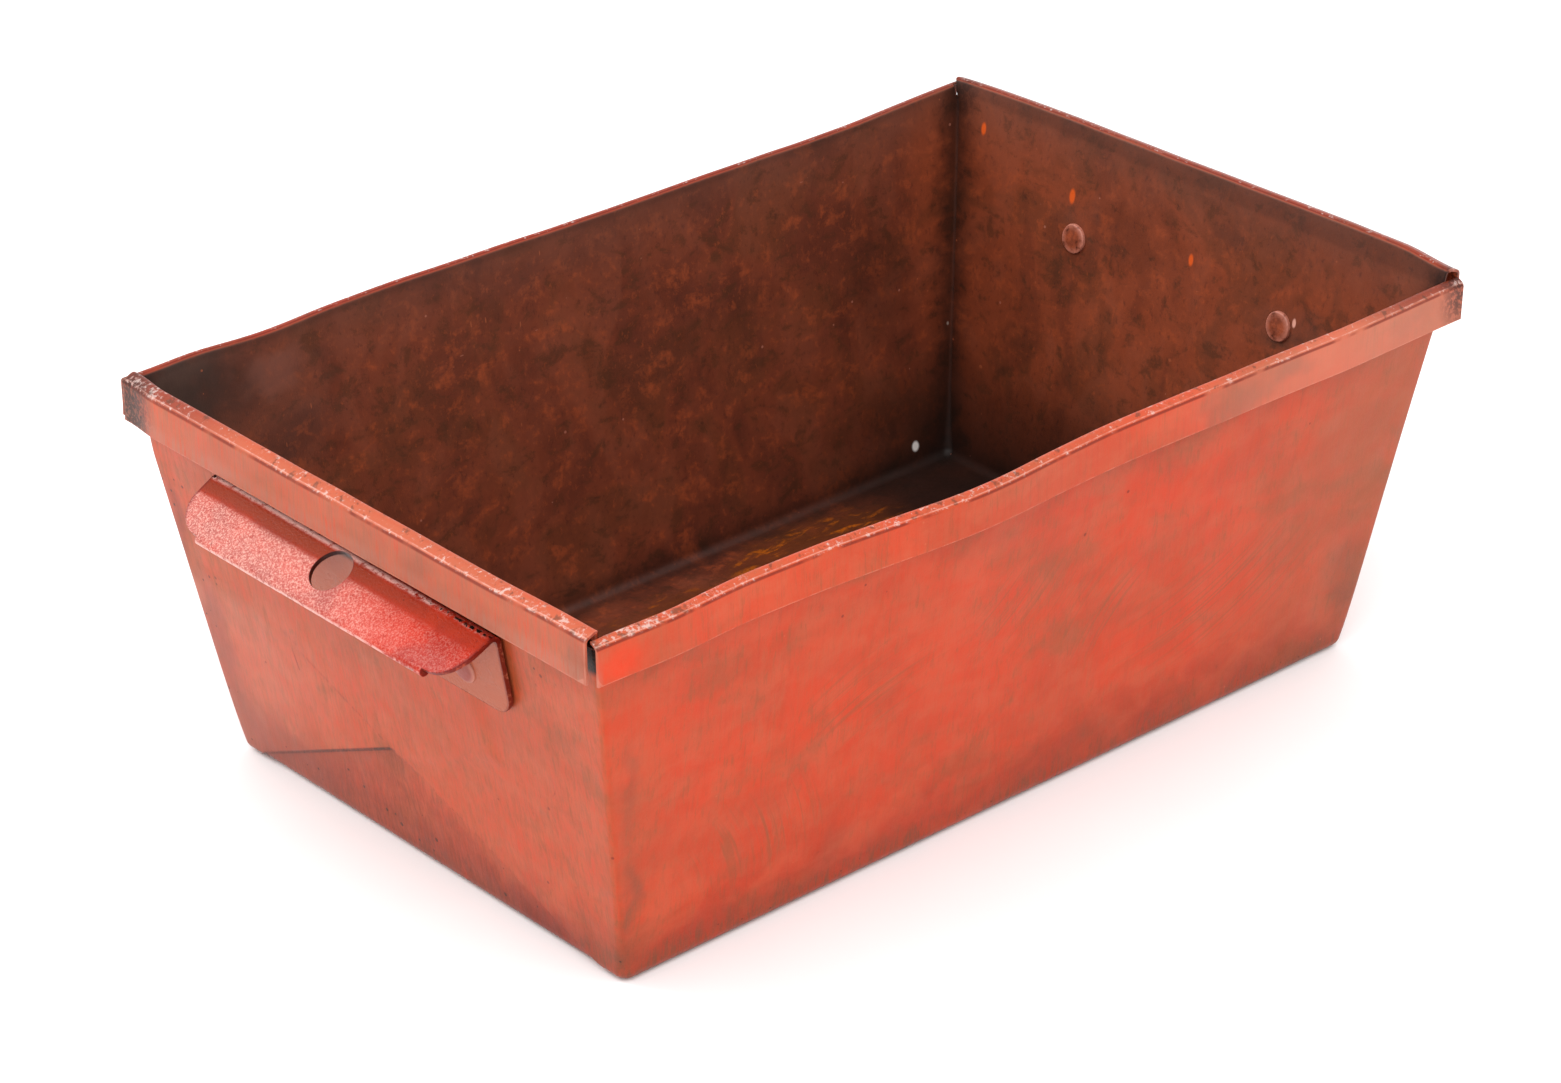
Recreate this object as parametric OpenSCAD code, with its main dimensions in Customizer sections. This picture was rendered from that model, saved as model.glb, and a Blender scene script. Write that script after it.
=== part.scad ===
// Nesting tote pan: a tapered sheet-steel tray folded from one blank, with a riveted handle at each end.
// Origin: middle of the underside. +X runs along the pan to its right end, -Y is the front, +Z is up.

/* [Pan] */
// Length between the insides of the end rims
rim_l = 305; // [290:1:320]
// Width between the insides of the side rims
rim_w = 199; // [190:1:210]
// Height from the underside to the top of the rim
pan_h = 116; // [112:0.5:120]
// Length of the floor between the end walls
base_l = 268.5; // [260:0.5:276]
// Width of the floor between the side walls
base_w = 167; // [160:1:174]
// Thickness of the pan's sheet
sheet_t = 0.8; // [0.7:0.05:0.9]
// Inside radius of the bends round the floor
floor_r = 3; // [2:0.5:4]
// Outside radius of the bends up the four corners
corner_r = 2; // [1.8:0.1:2.4]

/* [Rim] */
// Outer radius of the bend at the crest of the rim
crest_r = 1.4; // [1.2:0.1:1.6]
// Outer radius of the bend where the crest turns down into the skirt
crease_r = 1.8; // [1.4:0.1:2.2]
// Fall of the crest from the crest bend to the crease
crest_fall = 1.6; // [1.2:0.1:2]
// Height from the top of the rim to the lower edge of the skirt
skirt_h = 12; // [10:0.5:14]
// Distance from inside the rim to the skirt's outer face, on the long sides
side_stand = 3.7; // [3.5:0.1:4]
// Distance from inside the rim to the skirt's outer face, at the ends
end_stand = 4.8; // [4.6:0.1:5.2]
// Distance that each side rim runs on past the inside of the end rims
side_run = 3.3; // [2.8:0.1:3.6]
// Distance that each end rim runs on past the inside of the side rims
end_run = 0.6; // [0.2:0.1:1]

/* [Corner flaps] */
// Distance from the middle of the end to the foot of each flap's free edge
flap_foot = 80; // [78:0.5:80.5]
// Rise of a front flap's lower edge, in degrees from the floor
front_flap_rise = 23.5; // [20:0.5:26]
// Rise of a rear flap's lower edge, in degrees from the floor
rear_flap_rise = 25.5; // [22:0.5:28]
// Distance that each flap's tip reaches past the middle of the end
flap_reach = 41.5; // [38:0.5:44]
// Lean of a flap's outer edge from upright, in degrees
flap_lean = 15.5; // [12:0.5:18]

/* [Handles] */
// Width of a handle across the end of the pan
handle_w = 120; // [110:1:124]
// Thickness of a handle's sheet
handle_t = 1.4; // [1.2:0.1:1.6]
// Height of the back leg's lower edge, up the slope of the wall
leg_bottom = 76.5; // [75:0.5:78]
// Height of the ridge bend's centre, up the slope of the wall
ridge_v = 98.2; // [97.6:0.1:98.6]
// Outer radius of the ridge bend
ridge_r = 5.1; // [4.6:0.1:5.2]
// Fall of the grip just outside the ridge, in degrees from level
grip_fall = 30; // [28:1:32]
// Further fall of the grip where it bends gently down to its hem, in degrees
grip_droop = 10; // [6:1:12]
// Length of the grip from the ridge bend to the gentle bend
grip_inner = 2.4; // [2:0.2:3]
// Length of the grip from the gentle bend to its hem
grip_outer = 5.3; // [5:0.1:6]
// Radius of the grip's lower corners
grip_corner_r = 10; // [8:0.5:11]
// Radius of the back leg's lower corners
leg_corner_r = 6; // [4:0.5:7]
// Depth that the grip's edge is folded back under itself
hem_l = 4.5; // [3.5:0.5:4.5]
// Diameter of the hook hole in the grip
hook_d = 12.7; // [12:0.1:13]
// Distance from the ridge bend to the centre of the hook hole, down the grip
hook_down = 3.2; // [3.2:0.1:5]

/* [Rivets] */
// Distance between the two rivets of a handle
rivet_pitch = 85; // [80:1:88]
// Height of the rivets, up the slope of the wall
rivet_v = 84.9; // [84:0.1:86]
// Diameter of a rivet's shank
shank_d = 4.8; // [4.5:0.1:5]
// Diameter of a rivet's flat head, inside the pan
head_d = 9.5; // [9:0.1:10]
// Thickness of a rivet's flat head
head_t = 1.1; // [0.9:0.1:1.3]
// Diameter of a rivet's set tail, outside the handle
tail_d = 8.6; // [8:0.1:9]
// Height of a rivet's set tail
tail_t = 1.5; // [1.2:0.1:1.8]

/* [Hidden] */

// Largest turn between neighbouring points along a bend, in degrees
bend_step = 15;
// Clear of a neighbour, so that two faces never share a plane by accident
clear = 0.05;
// Bite of one sheet into the sheet that it is one piece with
bite = 0.2;
// Outward run of the walls for each millimetre of height
end_slope = (rim_l - base_l) / 2 / pan_h;
side_slope = (rim_w - base_w) / 2 / pan_h;
end_lean = atan(end_slope);
// Height where the walls give way to the rim bends, and where the rims take hold of the walls
wall_top = pan_h - 4;
rim_root = wall_top - 2;
// The flaps stop just under the hollow of the rim
flap_top = (pan_h - 3.5) / cos(end_lean);
// The handles' back legs rest on three layers: end wall, rear flap and front flap
seat = 3 * sheet_t;
// Outer radius of the hem's fold, and its width between the grip's rounded corners
hem_r = handle_t + 0.15;
hem_w = handle_w - 2 * grip_corner_r - 2;
// Turn of the ridge bend, and the length of path that the bend takes up on each side
ridge_turn = 90 + grip_fall - end_lean;
ridge_run = ridge_r * tan(ridge_turn / 2);
// Outer radius of the gentle bend in the grip, and the length it takes up on each side
droop_r = 30;
droop_run = droop_r * tan(grip_droop / 2);
// The hook hole is cut from above the grip, through it and the ridge bend, but stops short of the back leg
hook_above = 2;
hook_depth = 3.4;
// Thickness that a rivet holds together, from the inside of the wall to the outside of the back leg
held = seat + handle_t;
// Bevel round a rivet's flat head, and height of the straight rim under its tail's dome
head_bevel = 0.3;
tail_rim = 0.3;

// ---- Bent sheet: a path of corner points, each rounded by its own radius ----

function direction(a) = [cos(a), sin(a)];
function left_of(a) = [-sin(a), cos(a)];
function heading(p, q) = atan2(q[1] - p[1], q[0] - p[0]);
function wrapped(a) = a > 180 ? a - 360 : a <= -180 ? a + 360 : a;

// Points along the path, moved `o` to its left
function bent_edge(path, radii, o) =
    let (last = len(path) - 1)
    [
        path[0] + o * left_of(heading(path[0], path[1])),
        for (i = [1:last - 1])
            let (
                a = heading(path[i - 1], path[i]),
                turn = wrapped(heading(path[i], path[i + 1]) - a),
                side = turn < 0 ? -1 : 1,
                r = radii[i - 1],
                start = path[i] - r * tan(abs(turn) / 2) * direction(a),
                centre = start + side * r * left_of(a),
                steps = ceil(abs(turn) / bend_step)
            )
            for (k = [0:steps]) centre + (o - side * r) * left_of(a + turn * k / steps),
        path[last] + o * left_of(heading(path[last - 1], path[last]))
    ];

function backwards(points) = [for (i = [len(points) - 1:-1:0]) points[i]];

// Outline of a sheet `t` thick that lies to the right of the path
function sheet_outline(path, radii, t) =
    concat(bent_edge(path, radii, 0), backwards(bent_edge(path, radii, -t)));

// ---- Places on the pan ----

// Extrudes an outline drawn as [distance along X, height] across the pan, symmetrically about Y = 0
module across(length) rotate([90, 0, 0]) linear_extrude(length, center = true) children();

// Extrudes an outline drawn as [distance along Y, height] along the pan, symmetrically about X = 0
module along(length) rotate([90, 0, 90]) linear_extrude(length, center = true) children();

// Local frame of the right end wall: x along +Y, y up the slope, z out from the wall's inner face
module on_right_end() translate([base_l / 2, 0, 0]) rotate([0, end_lean, 0]) rotate([90, 0, 90]) children();

module at_both_ends() {
    children();
    mirror([1, 0, 0]) children();
}

module at_both_sides() {
    children();
    mirror([0, 1, 0]) children();
}

// ---- Pan ----

// Cross-section of the tray `grow` outside its inner faces, up to height `top`
module tray_outline(base, slope, grow, top) {
    wall = function (z) base / 2 + slope * z;
    path = [[-wall(top), top], [-wall(sheet_t), sheet_t], [wall(sheet_t), sheet_t], [wall(top), top]];
    polygon(bent_edge(path, [floor_r, floor_r], -grow));
}

module tray_solid(grow, top) {
    intersection() {
        across(rim_w * 2) tray_outline(base_l, end_slope, grow, top);
        along(rim_l * 2) tray_outline(base_w, side_slope, grow, top);
    }
}

// Section of a rim: up the wall, over the crest and down the skirt
module rim_outline(base, slope, stand) {
    wall_heading = 90 - atan(slope);
    wall = function (z) base / 2 + slope * z;
    crest_heading = -atan(crest_fall / (stand - sheet_t));
    crest_turn = wall_heading - crest_heading;
    // Height that the crest bend loses below the corner of its path
    crest_loss = crest_r * (tan(crest_turn / 2) * sin(wall_heading) + cos(wall_heading) - 1);
    peak = pan_h + crest_loss;
    skirt = base / 2 + slope * pan_h + stand;
    crease = peak + (skirt - wall(peak)) * tan(crest_heading);
    path = [[wall(rim_root), rim_root], [wall(peak), peak], [skirt, crease], [skirt, pan_h - skirt_h]];
    polygon(sheet_outline(path, [crest_r, crease_r], sheet_t));
}

// Outline of a flap on the right end, in the wall's frame, for the flap that wraps round the -Y corner
module flap_outline(rise) {
    corner = function (v) base_w / 2 + side_slope * cos(end_lean) * v + sheet_t;
    foot = -flap_foot + floor_r / tan(rise);
    tip = (flap_foot + flap_reach) * tan(rise);
    top = flap_reach - (flap_top - tip) * tan(flap_lean);
    polygon([
        [-corner(floor_r), floor_r], [foot, floor_r], [flap_reach, tip], [top, flap_top],
        [-corner(flap_top), flap_top]
    ]);
}

// Front and rear flaps of one layer; layer 1 lies on the end wall
module flap_plate(rise, layer) {
    translate([0, 0, layer * sheet_t - bite]) linear_extrude(sheet_t + bite) flap_outline(rise);
}

module flaps() {
    flap_plate(front_flap_rise, 1);
    mirror([1, 0, 0]) flap_plate(rear_flap_rise, 1);
    // The front flap is raised where it laps over the rear flap
    intersection() {
        flap_plate(front_flap_rise, 2);
        mirror([1, 0, 0]) flap_plate(rear_flap_rise, 2);
    }
}

// Cuts the outside of an edge down to a bend of radius r; the edge is the z axis, the metal is at -x, -y
module corner_cut(r, length) {
    reach = r / 2;
    arc = [for (a = [0:bend_step:90]) (r - clear) * direction(a) - [r, r]];
    linear_extrude(length, center = true) polygon(concat([[reach, -r]], arc, [[-r, reach], [reach, reach]]));
}

// Frame of the right rear corner edge, which leans out both ways
module on_corner_edge() {
    reach = [base_l / 2 + 2 * sheet_t / cos(end_lean), base_w / 2 + sheet_t / cos(atan(side_slope)), 0];
    translate(reach) rotate([-atan(side_slope * cos(end_lean)), end_lean, 0]) children();
}

module rivet_holes() {
    for (y = [-1, 1] * rivet_pitch / 2)
        on_right_end() translate([y, rivet_v, 0])
            cylinder(d = shank_d + 2 * clear, h = 20, center = true, $fn = 48);
}

module pan() {
    color("#c8452c") difference() {
        union() {
            difference() {
                union() {
                    difference() {
                        tray_solid(sheet_t, wall_top);
                        tray_solid(0, wall_top + 10);
                    }
                    at_both_ends() on_right_end() flaps();
                }
                at_both_ends() at_both_sides() on_corner_edge() corner_cut(corner_r, 3 * pan_h);
            }
            at_both_ends() across(rim_w + 2 * end_run) rim_outline(base_l, end_slope, end_stand);
            at_both_sides() along(rim_l + 2 * side_run) rim_outline(base_w, side_slope, side_stand);
        }
        at_both_ends() rivet_holes();
    }
}

// ---- Handles ----

// Outer face of the handle in the wall's frame, as [out from the wall, up the slope], before its bends
function handle_path() =
    let (
        top = ridge_v + ridge_run,
        inner_heading = end_lean - grip_fall,
        outer_heading = inner_heading - grip_droop,
        droop = [seat, top] + (ridge_run + grip_inner + droop_run) * direction(inner_heading)
    )
    [[seat, leg_bottom], [seat, top], droop, droop + (droop_run + grip_outer) * direction(outer_heading)];

// The hem carries on from the grip's edge, turns under and lies back along the grip
function hem_path() =
    let (
        path = handle_path(),
        edge = path[3],
        a = heading(path[2], edge),
        nose = edge + hem_r * direction(a)
    )
    [edge - direction(a), nose, nose - 2 * hem_r * left_of(a),
     edge - 2 * hem_r * left_of(a) - (hem_l - hem_r) * direction(a)];

// Extrudes an outline drawn as [out from the wall, up the slope] across the end wall
module across_end(length) on_right_end() rotate([0, -90, 0]) linear_extrude(length, center = true) children();

// Frame on the handle's outer face at point p of its path, where the sheet runs along heading a:
// x along +Y, y along the heading, z into the metal
module on_handle(p, a) on_right_end() translate([0, p[1], p[0]]) rotate([90 - a, 0, 0]) children();

// Rounds the pair of corners at the end of the handle's path that leads away along heading a
module round_corners(p, a, r) {
    at_both_sides() on_handle(p, a) translate([handle_w / 2, 0, 0]) corner_cut(r, 4 * hem_r);
}

module hook_hole() {
    path = handle_path();
    a = heading(path[1], path[2]);
    on_handle(path[1] + (ridge_run + hook_down) * direction(a), a)
        translate([0, 0, -hook_above]) cylinder(d = hook_d, h = hook_above + hook_depth, $fn = 96);
}

module handle() {
    path = handle_path();
    color("#a8322a") difference() {
        union() {
            difference() {
                across_end(handle_w) polygon(sheet_outline(path, [ridge_r, droop_r], handle_t));
                round_corners(path[3], heading(path[2], path[3]), grip_corner_r);
                round_corners(path[0], heading(path[1], path[0]), leg_corner_r);
            }
            across_end(hem_w) polygon(sheet_outline(hem_path(), [hem_r, hem_r], handle_t));
        }
        hook_hole();
        rivet_holes();
    }
}

module right_handle() handle();
module left_handle() mirror([1, 0, 0]) handle();

// ---- Rivets ----

// Flat head against the inside of the wall, shank through wall, flaps and back leg, set tail outside
module rivet(side) {
    dome = [for (a = [0:bend_step:90]) [tail_d / 2 * cos(a), held + tail_rim + (tail_t - tail_rim) * sin(a)]];
    color("#8c3d2b") on_right_end() translate([side * rivet_pitch / 2, rivet_v, 0])
        rotate_extrude($fn = 64) polygon(concat([
            [0, -head_t], [head_d / 2 - head_bevel, -head_t],
            [head_d / 2, head_bevel - head_t], [head_d / 2, 0],
            [shank_d / 2, 0], [shank_d / 2, held], [tail_d / 2, held]
        ], dome));
}

module right_front_rivet() rivet(-1);
module right_rear_rivet() rivet(1);
module left_front_rivet() mirror([1, 0, 0]) rivet(-1);
module left_rear_rivet() mirror([1, 0, 0]) rivet(1);

pan();
left_handle();
right_handle();
left_front_rivet();
left_rear_rivet();
right_front_rivet();
right_rear_rivet();
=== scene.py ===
"""A worn red nesting tote pan: one folded sheet of steel with a riveted handle at each end.

The CAD model sets the sizes. This script builds the visible sheet metal again with smooth bends, real
sheet thickness, open rim ends and small bows, and gives it its worn paint.
"""

import math

import bmesh
import bpy
from mathutils import Matrix, Vector, noise


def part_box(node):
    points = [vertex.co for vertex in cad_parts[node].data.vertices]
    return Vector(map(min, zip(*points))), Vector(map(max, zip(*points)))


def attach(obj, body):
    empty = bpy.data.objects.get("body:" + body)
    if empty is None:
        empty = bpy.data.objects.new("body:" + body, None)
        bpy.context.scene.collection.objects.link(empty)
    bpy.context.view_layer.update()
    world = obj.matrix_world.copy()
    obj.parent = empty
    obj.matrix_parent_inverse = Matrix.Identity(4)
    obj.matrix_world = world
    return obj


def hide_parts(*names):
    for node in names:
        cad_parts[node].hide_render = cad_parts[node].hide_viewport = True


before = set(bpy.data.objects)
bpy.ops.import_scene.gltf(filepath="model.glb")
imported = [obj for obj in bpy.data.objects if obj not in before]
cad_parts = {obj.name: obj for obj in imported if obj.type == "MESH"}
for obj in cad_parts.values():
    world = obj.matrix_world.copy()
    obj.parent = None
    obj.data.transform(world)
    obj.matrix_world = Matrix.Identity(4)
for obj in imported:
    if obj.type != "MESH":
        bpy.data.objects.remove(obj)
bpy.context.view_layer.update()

MM = 0.001

# ---- Sizes in millimetres ----
# They are the CAD model's, but for the handles' ridge, grip and hook hole and the rivets' heads.

END_STAND = 4.8
SIDE_STAND = 3.7
SHEET = 0.8
BASE_X = 268.5 / 2
BASE_Y = 167 / 2
FLOOR_R = 3
CORNER_R = 2
CREST_R = 1.4
CREASE_R = 1.8
CREST_FALL = 1.6
SKIRT_H = 12
SIDE_RUN = 3.3
END_RUN = 0.6
FLAP_FOOT = 80
FLAP_REACH = 41.5
FLAP_LEAN = math.radians(15.5)
FRONT_RISE = math.radians(23.5)
REAR_RISE = math.radians(25.5)
HANDLE_W = 120
HANDLE_T = 1.4
LEG_BOTTOM = 76.5
RIDGE_V = 100.8
RIDGE_R = 2.6
GRIP_FALL = math.radians(28)
GRIP_DROOP = math.radians(10)
GRIP_INNER = 6.7
GRIP_OUTER = 4.0
GRIP_CORNER_R = 10
LEG_CORNER_R = 6
DROOP_R = 30
HEM_L = 4.5
HOOK_R = 6.35
HOOK_DOWN = 5.7
RIVET_PITCH = 85
RIVET_V = 84.9
RIVET_SHANK_R = 2.4
RIVET_HEAD_R = 4.5
RIVET_HEAD_T = 1.1
RIVET_TAIL_R = 4.3
RIVET_TAIL_T = 1.5
# Air inside the hem's fold, the rounding of a rivet head's rim, and the straight edge of its tail
HEM_AIR = 0.15
RIVET_EDGE_R = 0.5
RIVET_TAIL_EDGE = 0.3
# Rounding of sheared edges
EDGE_R = 0.1

pan_low, pan_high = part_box("pan")
PAN_H = pan_high.z / MM
RIM_X = pan_high.x / MM - END_STAND
RIM_Y = pan_high.y / MM - SIDE_STAND
END_SLOPE = (RIM_X - BASE_X) / PAN_H
SIDE_SLOPE = (RIM_Y - BASE_Y) / PAN_H
END_LEAN = math.atan(END_SLOPE)
SEAT = 3 * SHEET
# Inside radius of the vertical corner bends, how much rounder they are at the foot, and over what height
CORNER_IN = CORNER_R - SHEET
CORNER_FOOT = 1.8
CORNER_FADE = 9
# Air between two plies of sheet, and how far an end ply's edge runs into the corner bend
PLY_GAP = 0.01
CORNER_TUCK = 0.15
# The flaps stop this high, inside the hollow of the end rims
FLAP_TOP = PAN_H - 3.5

# ---- Small helpers ----


def add_object(name, data):
    item = bpy.data.objects.new(name, data)
    bpy.context.scene.collection.objects.link(item)
    return item


def add_closed_mesh(name, points, faces, paints):
    """A smooth closed mesh: its points are in millimetres, and each has an attribute colour."""
    mesh = bpy.data.meshes.new(name)
    mesh.from_pydata([p * MM for p in points], [], faces)
    colour = mesh.color_attributes.new("paint", "FLOAT_COLOR", "POINT")
    for i, value in enumerate(paints):
        colour.data[i].color = value
    mesh.polygons.foreach_set("use_smooth", [True] * len(mesh.polygons))
    work = bmesh.new()
    work.from_mesh(mesh)
    bmesh.ops.recalc_face_normals(work, faces=work.faces)
    work.to_mesh(mesh)
    work.free()
    return add_object(name, mesh)


def direction(a):
    return Vector((math.cos(a), math.sin(a)))


def left_of(a):
    return Vector((-math.sin(a), math.cos(a)))


def heading(p, q):
    return math.atan2(q[1] - p[1], q[0] - p[0])


def wrapped(a):
    return (a + math.pi) % (2 * math.pi) - math.pi


def lerp(a, b, t):
    return a + (b - a) * t


def smooth(low, high, x):
    """0 at low, 1 at high, with a smooth rise between."""
    t = min(max((x - low) / (high - low), 0), 1)
    return t * t * (3 - 2 * t)


def spread(low, high, count):
    return [lerp(low, high, i / count) for i in range(count + 1)]


class Section:
    """A 2-D path of straight runs joined by round bends. at(s) gives its point and the normal to its left."""

    def __init__(self, corners, radii):
        corners = [Vector(c) for c in corners]
        self.parts = []
        self.length = 0.0
        start = corners[0]
        for corner, after, radius in zip(corners[1:], corners[2:], radii):
            a = heading(start, corner)
            turn = wrapped(heading(corner, after) - a)
            cut = radius * math.tan(abs(turn) / 2)
            self.add(start, a, (corner - start).length - cut, 0)
            self.add(corner - cut * direction(a), a, radius * abs(turn), math.copysign(radius, turn))
            start = corner + cut * direction(a + turn)
        self.add(start, heading(start, corners[-1]), (corners[-1] - start).length, 0)

    def add(self, start, a, length, radius):
        self.parts.append((self.length, length, start, a, radius))
        self.length += length

    def at(self, s):
        part = next((p for p in self.parts if s <= p[0] + p[1]), self.parts[-1])
        first, _, start, a, radius = part
        if radius == 0:
            return start + (s - first) * direction(a), left_of(a)
        turned = a + (s - first) / radius
        return start + radius * (left_of(a) - left_of(turned)), left_of(turned)

    def bounds(self, i):
        first, length = self.parts[i][:2]
        return first, first + length

    def stations(self, i, count):
        """Values of s that divide part i evenly, with its start left out."""
        return spread(*self.bounds(i), count)[1:]

    def run_to(self, i, height):
        """The s of straight part i at which the path reaches a height."""
        first, _, start, a, _ = self.parts[i]
        return first + (height - start[1]) / math.sin(a)


class Sheet:
    """Thick sheet metal. A node is a point on the sheet's one face and the point across its thickness.

    Patches that share nodes are joined, and free edges are closed, so that each sheet is one closed mesh.
    Each of the two points carries an attribute colour: how much it is inside the pan or behind a handle's
    grip, how much it lies on a worn bend or edge, which also places painted highlights, and how much it lies
    in a handle's stripe of painted shade. build() adds a fourth value, which is 1 on the free edges.
    """

    def __init__(self):
        self.nodes = []
        self.known = {}
        self.quads = []

    def node(self, face, back, paint, back_paint):
        key = tuple(round(c, 4) for c in (*face, *back))
        if key not in self.known:
            self.known[key] = len(self.nodes)
            self.nodes.append((face, back, paint, back_paint))
        return self.known[key]

    def patch(self, grid, keep=None):
        """grid[i][j] is a node's four values; keep(i, j) says whether the cell that starts there exists."""
        ids = [[self.node(*n) for n in row] for row in grid]
        for i in range(len(ids) - 1):
            for j in range(len(ids[i]) - 1):
                if keep is None or keep(i, j):
                    corners = [ids[i][j], ids[i + 1][j], ids[i + 1][j + 1], ids[i][j + 1]]
                    corners = list(dict.fromkeys(corners))
                    if len(corners) > 2:
                        self.quads.append(corners)

    def build(self, name, place):
        """Makes the mesh; place(point) moves a point into the row frame first."""
        used = sorted({n for q in self.quads for n in q})
        slot = {n: i for i, n in enumerate(used)}
        count = len(used)
        faces = [[slot[n] for n in q] for q in self.quads]
        edges = {}
        for face in faces:
            for a, b in zip(face, face[1:] + face[:1]):
                edges.setdefault((min(a, b), max(a, b)), []).append((a, b))
        rims = [use[0] for use in edges.values() if len(use) == 1]
        back = [[n + count for n in reversed(f)] for f in faces]
        walls = [[b, a, a + count, b + count] for a, b in rims]
        points = [place(Vector(self.nodes[n][side])) for side in (0, 1) for n in used]
        paints = [self.nodes[n][side] for side in (2, 3) for n in used]
        rim_ends = {n for pair in rims for n in pair}
        paints = [(*value, float(i % count in rim_ends)) for i, value in enumerate(paints)]
        piece = add_closed_mesh(name, points, faces + back + walls, paints)
        round_edges(piece)
        return piece


def round_edges(piece):
    """Rounds the sheared edges a little, and keeps the broad faces' normals."""
    bevel = piece.modifiers.new("edges", "BEVEL")
    bevel.width = EDGE_R * MM
    bevel.segments = 2
    bevel.limit_method = "ANGLE"
    bevel.angle_limit = math.radians(50)
    bevel.use_clamp_overlap = False
    bevel.harden_normals = True
    graph = bpy.context.evaluated_depsgraph_get()
    mesh = bpy.data.meshes.new_from_object(piece.evaluated_get(graph), depsgraph=graph)
    old = piece.data
    piece.modifiers.clear()
    piece.data = mesh
    mesh.name = old.name
    bpy.data.meshes.remove(old)


# ---- The pan's sections and rows ----

FLOOR_LIP = 1
ROW_STEP = 1.8
BEND_ROWS = 8
CREST_ROWS = 12
CREASE_ROWS = 10
SKIRT_ROWS = 5


def side_wall(z):
    return BASE_Y + SIDE_SLOPE * z


def end_wall(z):
    return BASE_X + END_SLOPE * z


def wall_section(base, slope, wall, stand):
    """From the floor's edge up the inside of a wall, over the rim's crest and down the skirt's outside."""
    wall_heading = math.pi / 2 - math.atan(slope)
    crest_heading = -math.atan(CREST_FALL / (stand - SHEET))
    turn = wall_heading - crest_heading
    loss = CREST_R * (math.tan(turn / 2) * math.sin(wall_heading) + math.cos(wall_heading) - 1)
    peak = PAN_H + loss
    skirt = base + slope * PAN_H + stand
    crease = peak + (skirt - wall(peak)) * math.tan(crest_heading)
    start = wall(SHEET) - FLOOR_R * math.tan(wall_heading / 2) - FLOOR_LIP
    corners = [(start, SHEET), (wall(SHEET), SHEET), (wall(peak), peak), (skirt, crease)]
    corners.append((skirt, PAN_H - SKIRT_H))
    return Section(corners, [FLOOR_R, CREST_R, CREASE_R])


LIP, BEND, WALL, CREST, TOP, CREASE, SKIRT = range(7)
side_section = wall_section(BASE_Y, SIDE_SLOPE, side_wall, SIDE_STAND)
end_section = wall_section(BASE_X, END_SLOPE, end_wall, END_STAND)

bend_top = max(s.at(s.bounds(BEND)[1])[0].y for s in (side_section, end_section))
FLAP_LOW = bend_top + 0.25
front_tip = (FLAP_FOOT + FLAP_REACH) * math.tan(FRONT_RISE)
rear_tip = (FLAP_FOOT + FLAP_REACH) * math.tan(REAR_RISE)
UP_SLOPE = math.cos(END_LEAN)


def wall_levels():
    """Heights of the rows up the long walls and the flaps, with a row at each flap's tip."""
    stops = [FLAP_LOW, front_tip * UP_SLOPE, rear_tip * UP_SLOPE, FLAP_TOP]
    levels = [stops[0]]
    for low, high in zip(stops, stops[1:]):
        levels += spread(low, high, max(1, round((high - low) / ROW_STEP)))[1:]
    return levels


LEVELS = wall_levels()


def section_rows(section, levels):
    """The s of every row, and the part that each row belongs to."""
    rows = [(0, LIP)]
    rows += [(s, BEND) for s in spread(*section.bounds(BEND), BEND_ROWS)]
    rows += [(section.run_to(WALL, z), WALL) for z in levels]
    rows += [(s, CREST) for s in spread(*section.bounds(CREST), CREST_ROWS)]
    rows += [(section.bounds(TOP)[1], TOP)]
    rows += [(s, CREASE) for s in section.stations(CREASE, CREASE_ROWS)]
    rows += [(s, SKIRT) for s in section.stations(SKIRT, SKIRT_ROWS)]
    return rows


side_rows = section_rows(side_section, LEVELS)
end_rows = section_rows(end_section, spread(FLAP_LOW, FLAP_TOP, 30))
FIRST_BEND = 1
LAST_BEND = FIRST_BEND + BEND_ROWS
LAST_LEVEL = LAST_BEND + len(LEVELS)


def corner_radius(z):
    return CORNER_IN + CORNER_FOOT * math.exp(-max(z - bend_top, 0) / CORNER_FADE)


def row_faces(section, s, out=0.0):
    """The two faces of the sheet at s, as [distance out, height], for a ply that lies `out` further out."""
    point, normal = section.at(s)
    return point - out * normal, point - (out + SHEET) * normal


def corner_row(i):
    """Where row i of a long wall turns its corner: faces of the side ply and of the flap, and the radius."""
    s, part = side_rows[i]
    side = row_faces(side_section, s)
    if part == BEND or part == LIP:
        share = (i - FIRST_BEND) / BEND_ROWS
        end_s = end_rows[i][0]
        out = (SHEET + PLY_GAP) * smooth(0, 1, max(share, 0))
        start = side_section.at(side_section.bounds(BEND)[0])[0].x
        stop = side_section.at(side_section.bounds(BEND)[1])[0].x
        radius = corner_radius(0) * (side[0].x - start) / (stop - start)
    else:
        end_s = end_section.run_to(WALL, side[0].y)
        out = SHEET + PLY_GAP
        radius = corner_radius(side[0].y)
    return side, row_faces(end_section, end_s, out), radius


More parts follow.
